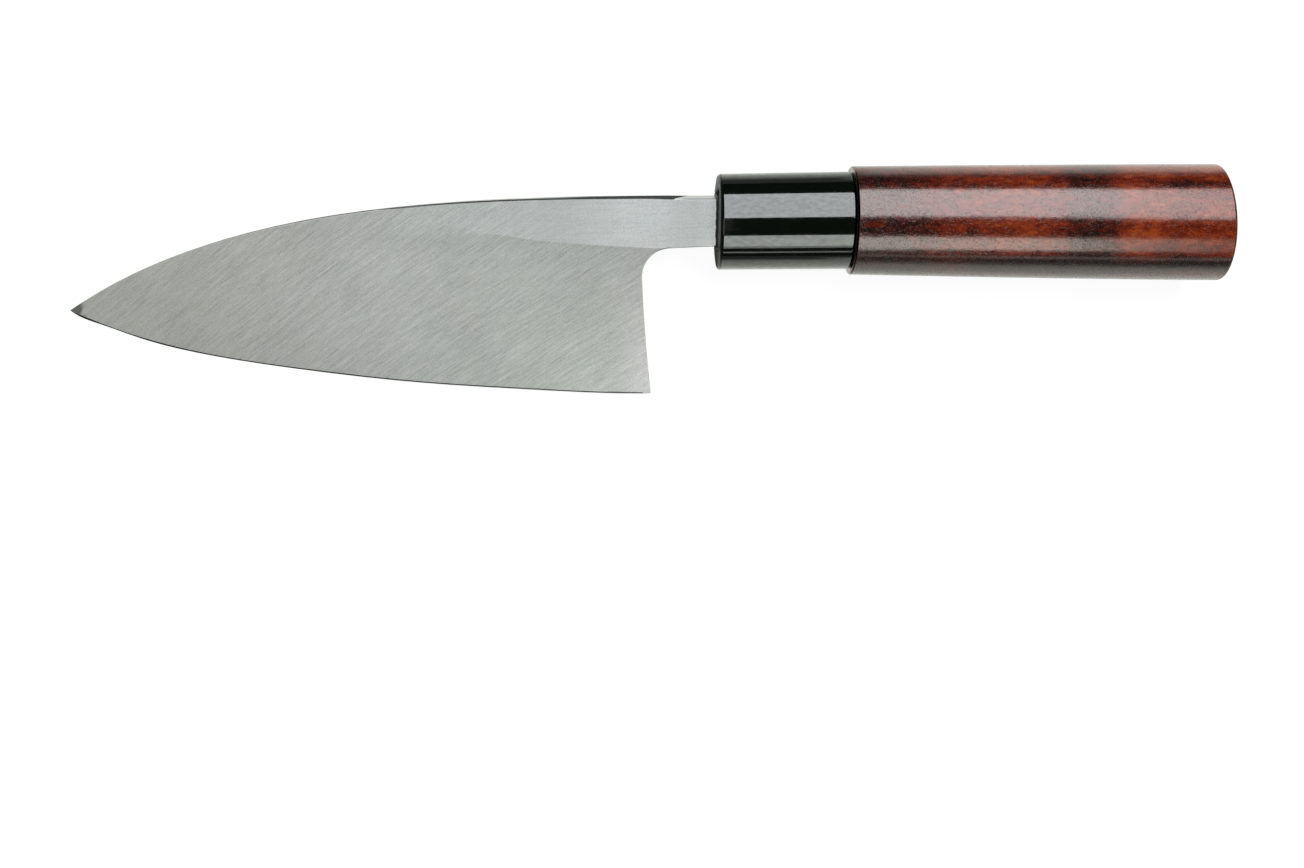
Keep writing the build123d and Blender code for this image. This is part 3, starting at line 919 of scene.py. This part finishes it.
def makeResin():
    material, tree = startMaterial("sealResin")
    place = knifeCoordinates(tree)
    lumps = noise(tree, scaled(tree, place, *resinLook["lumpStep"]), *resinLook["lumpNoise"])
    finishMaterial(tree, {
        "Base Color": (*resinLook["colour"], 1.0),
        "Roughness": remap(tree, lumps, *resinLook["lumpShare"], *resinLook["rough"]),
        "Normal": bump(tree, lumps, resinLook["lumpDepth"]),
    })
    return material


materials = {
    "edge_steel": makeHardSteel(),
    "blade_body": makeSoftIron(),
    "ferrule": makeFerruleBlack(),
    "handle": makeStainedWood(),
    "tang_seal": makeResin(),
}
for node, material in materials.items():
    setMaterial(node, material)
print("materials:", ", ".join(material.name for material in materials.values()))

# Resin bead: the plug in the ferrule's slot, with an uneven rim that stands out of it and lumps where the
# resin was squeezed out. Sizes are millimetres in the knife's own axes.

beadLook = {
    "from": -0.65,
    "to": 4.0,
    "low": -7.25,
    "high": 7.45,
    "half": 3.9,
    "corner": 1.4,
    "cornerSteps": 5,
    "lumps": ((-0.15, 7.75, 2.2, 0.9), (-0.1, 7.6, -1.6, 0.6), (-0.05, -7.3, 1.8, 0.45),
              (-0.05, -7.2, -1.2, 0.5), (0.1, 3.0, 3.9, 0.35), (0.1, -3.4, 3.9, 0.3)),     # x, y, z, radius
    "lumpRound": (24, 12),
    "lumpStretch": (0.8, 1.0, 1.5),
    "voxel": 0.14,
    "ragged": 0.32,
    "raggedSize": 2.2,
}


def makeResinBead():
    toKnife = Matrix.Translation(knifeZero) @ knifeTurn.to_4x4() @ Matrix.Diagonal((millimetre,) * 3).to_4x4()
    bpy.ops.object.select_all(action="DESELECT")
    middle = [(beadLook[a] + beadLook[b]) / 2 for a, b in (("from", "to"), ("low", "high"))]
    bpy.ops.mesh.primitive_cube_add(size=1.0, location=(*middle, 0.0))
    bead = bpy.context.object
    bead.name = "resinBead"
    bpy.ops.object.mode_set(mode="EDIT")
    size = (beadLook["to"] - beadLook["from"], beadLook["high"] - beadLook["low"], 2 * beadLook["half"])
    bpy.ops.transform.resize(value=size)
    bpy.ops.object.mode_set(mode="OBJECT")
    for edge in bead.data.edges:
        first, second = [bead.data.vertices[v].co for v in edge.vertices]
        edge.select = abs((first - second).x) > size[0] / 2
    bpy.ops.object.mode_set(mode="EDIT")
    bpy.ops.mesh.select_mode(type="EDGE")
    bpy.ops.mesh.bevel(offset=beadLook["corner"], segments=beadLook["cornerSteps"], affect="EDGES")
    bpy.ops.object.mode_set(mode="OBJECT")
    lumps = []
    segments, rings = beadLook["lumpRound"]
    for x, y, z, radius in beadLook["lumps"]:
        bpy.ops.mesh.primitive_uv_sphere_add(segments=segments, ring_count=rings, radius=radius,
                                             location=(x, y, z))
        lumps.append(bpy.context.object)
        bpy.ops.object.mode_set(mode="EDIT")
        bpy.ops.transform.resize(value=beadLook["lumpStretch"])
        bpy.ops.object.mode_set(mode="OBJECT")
    for piece in (*lumps, bead):
        piece.select_set(True)
    bpy.context.view_layer.objects.active = bead
    bpy.ops.object.join()
    bead = bpy.context.object
    bpy.ops.object.transform_apply(location=True, rotation=True, scale=True)
    remesh = bead.modifiers.new("oneSkin", "REMESH")
    remesh.mode = "VOXEL"
    remesh.voxel_size = beadLook["voxel"]
    bpy.ops.object.modifier_apply(modifier=remesh.name)
    ragged = bpy.data.textures.new("resinLumps", "CLOUDS")
    ragged.noise_scale = beadLook["raggedSize"]
    push = bead.modifiers.new("ragged", "DISPLACE")
    push.texture = ragged
    push.texture_coords = "LOCAL"
    push.strength = beadLook["ragged"]
    push.mid_level = 0.5
    bpy.ops.object.modifier_apply(modifier=push.name)
    bead.matrix_world = toKnife
    bpy.ops.object.transform_apply(location=True, rotation=True, scale=True)
    bpy.ops.object.shade_smooth()
    bead.data.materials.clear()
    bead.data.materials.append(materials["tang_seal"])
    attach(bead, "root")
    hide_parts("tang_seal")
    print("resin bead:", len(bead.data.polygons), "faces")


makeResinBead()

# Floor and surroundings. What the camera sees of the floor is white; what the gloss mirrors of it darkens
# away from the knife, and where the neck and the butt shade it. "floorSize", "halfLength" and what ends in
# "Reach" are metres round the scene's middle but for "woodReach", which is a share. The places by the neck,
# the wood and the butt are millimetres in the knife's own axes.

stageLook = {
    "floorSize": 30.0,
    "paper": 0.8,
    "shadowShare": 0.13,
    "nearGlow": 0.91,
    "shadowReach": (0.15, 0.45),
    "halfLength": 0.30,
    "sheetReach": (0.03, 0.095),
    "darkTable": 0.02,
    "woodFade": (38.0, 52.0),
    "woodReach": 0.50,
    "shadedShare": 0.95,
    "neckFrom": (-80.0, -60.0),
    "neckTo": (2.0, 0.5),
    "neckMiddle": 4.7,
    "neckOff": (12.5, 9.5),
    "buttFrom": (138.0, 142.0),
    "buttTo": (175.0, 160.0),
    "buttMiddle": 1.7,
    "buttOff": (22.0, 14.0),
    "mirroredTint": (0.97, 1.0, 0.92),
    "studio": 0.05,
    "studioGloss": 0.02,
    "roomGloss": 0.2,
    "roomTurn": (0.05, 0.5),
    "farGloss": 0.35,
    "farTurn": (-0.6, -0.9),
}


def makeFloor():
    bpy.ops.object.select_all(action="DESELECT")
    bpy.ops.mesh.primitive_plane_add(size=stageLook["floorSize"], location=(0, 0, 0))
    floor = bpy.context.object
    floor.name = "paperFloor"
    material, tree = startMaterial("whitePaper")
    place = put(tree, "ShaderNodeTexCoord").outputs["Object"]
    x, y, z = split(tree, place)
    reach = put(tree, "ShaderNodeVectorMath", {0: place}, operation="LENGTH").outputs["Value"]
    beyondEnds = calc(tree, "SUBTRACT", calc(tree, "ABSOLUTE", x), stageLook["halfLength"])
    beyondEnds = calc(tree, "MAXIMUM", beyondEnds, 0.0)
    away = calc(tree, "ADD", calc(tree, "POWER", beyondEnds, 2.0), calc(tree, "POWER", y, 2.0))
    away = calc(tree, "SQRT", away)
    rays = put(tree, "ShaderNodeLightPath").outputs
    seen = calc(tree, "MAXIMUM", calc(tree, "MAXIMUM", rays["Is Camera Ray"], rays["Is Glossy Ray"]),
                rays["Is Transmission Ray"])
    glow = remap(tree, reach, *stageLook["shadowReach"], stageLook["nearGlow"], 1.0)
    shadeX, shadeY, shadeZ = split(tree, knifeCoordinates(tree))
    nearWood = remap(tree, shadeX, *stageLook["woodFade"])
    away = calc(tree, "MULTIPLY", away, calc(tree, "MULTIPLY_ADD", nearWood, -stageLook["woodReach"], 1.0))
    mirrored = remap(tree, away, *stageLook["sheetReach"], 1.0, stageLook["darkTable"])
    # the neck shades the table in front of the ferrule's face, which is what that face mirrors
    offNeck = calc(tree, "ABSOLUTE", calc(tree, "ADD", shadeY, stageLook["neckMiddle"]))
    underNeckShade = calc(tree, "MULTIPLY", remap(tree, shadeX, *stageLook["neckFrom"]),
                     remap(tree, shadeX, *stageLook["neckTo"]))
    underNeckShade = calc(tree, "MULTIPLY", underNeckShade, remap(tree, offNeck, *stageLook["neckOff"]))
    offButt = calc(tree, "ABSOLUTE", calc(tree, "ADD", shadeY, stageLook["buttMiddle"]))
    besideButt = calc(tree, "MULTIPLY", remap(tree, shadeX, *stageLook["buttFrom"]),
                      remap(tree, shadeX, *stageLook["buttTo"]))
    besideButt = calc(tree, "MULTIPLY", besideButt, remap(tree, offButt, *stageLook["buttOff"]))
    shaded = calc(tree, "MAXIMUM", underNeckShade, besideButt)
    shaded = calc(tree, "MULTIPLY_ADD", shaded, -stageLook["shadedShare"], 1.0)
    mirrored = calc(tree, "MULTIPLY", mirrored, shaded)
    direct = calc(tree, "SUBTRACT", 1.0, rays["Is Glossy Ray"])
    strength = calc(tree, "MULTIPLY", glow, calc(tree, "MAXIMUM", mirrored, direct))
    colour = tint(tree, rays["Is Glossy Ray"], (1, 1, 1), stageLook["mirroredTint"])
    white = put(tree, "ShaderNodeEmission", {"Color": colour, "Strength": strength})
    shade = put(tree, "ShaderNodeBsdfDiffuse", {"Color": (stageLook["shadowShare"],) * 3 + (1,)})
    paper = put(tree, "ShaderNodeBsdfDiffuse", {"Color": (stageLook["paper"],) * 3 + (1,)})
    shown = put(tree, "ShaderNodeAddShader", {0: white.outputs[0], 1: shade.outputs[0]})
    mixed = put(tree, "ShaderNodeMixShader", {0: seen, 1: paper.outputs[0], 2: shown.outputs[0]})
    put(tree, "ShaderNodeOutputMaterial", {"Surface": mixed.outputs[0]})
    floor.data.materials.append(material)


def makeSurroundings():
    world = bpy.data.worlds.new("studio")
    bpy.context.scene.world = world
    world.use_nodes = True
    tree = world.node_tree
    tree.nodes.clear()
    rays = put(tree, "ShaderNodeLightPath").outputs
    seen = calc(tree, "MAXIMUM", rays["Is Camera Ray"], rays["Is Transmission Ray"])
    # reflections find a dark studio over the handle, a lighter room beyond the tip, and light past the butt
    towards = put(tree, "ShaderNodeTexCoord").outputs["Generated"]
    pastTip = put(tree, "ShaderNodeVectorMath", {0: towards, 1: alongKnife(-1, 0, 0)},
                  operation="DOT_PRODUCT").outputs["Value"]
    room = remap(tree, pastTip, *stageLook["roomTurn"], stageLook["studioGloss"], stageLook["roomGloss"])
    room = calc(tree, "ADD", room, remap(tree, pastTip, *stageLook["farTurn"], 0.0, stageLook["farGloss"]))
    direct = calc(tree, "SUBTRACT", 1.0, rays["Is Glossy Ray"])
    level = calc(tree, "ADD", calc(tree, "MULTIPLY", room, rays["Is Glossy Ray"]),
                 calc(tree, "MULTIPLY", stageLook["studio"], direct))
    dark = put(tree, "ShaderNodeBackground", {"Color": (1, 1, 1, 1), "Strength": level})
    white = put(tree, "ShaderNodeBackground", {"Color": (1, 1, 1, 1)})
    mixed = put(tree, "ShaderNodeMixShader", {0: seen, 1: dark.outputs[0], 2: white.outputs[0]})
    put(tree, "ShaderNodeOutputWorld", {"Surface": mixed.outputs[0]})


makeFloor()
makeSurroundings()
bpy.context.scene.view_settings.view_transform = "Standard"
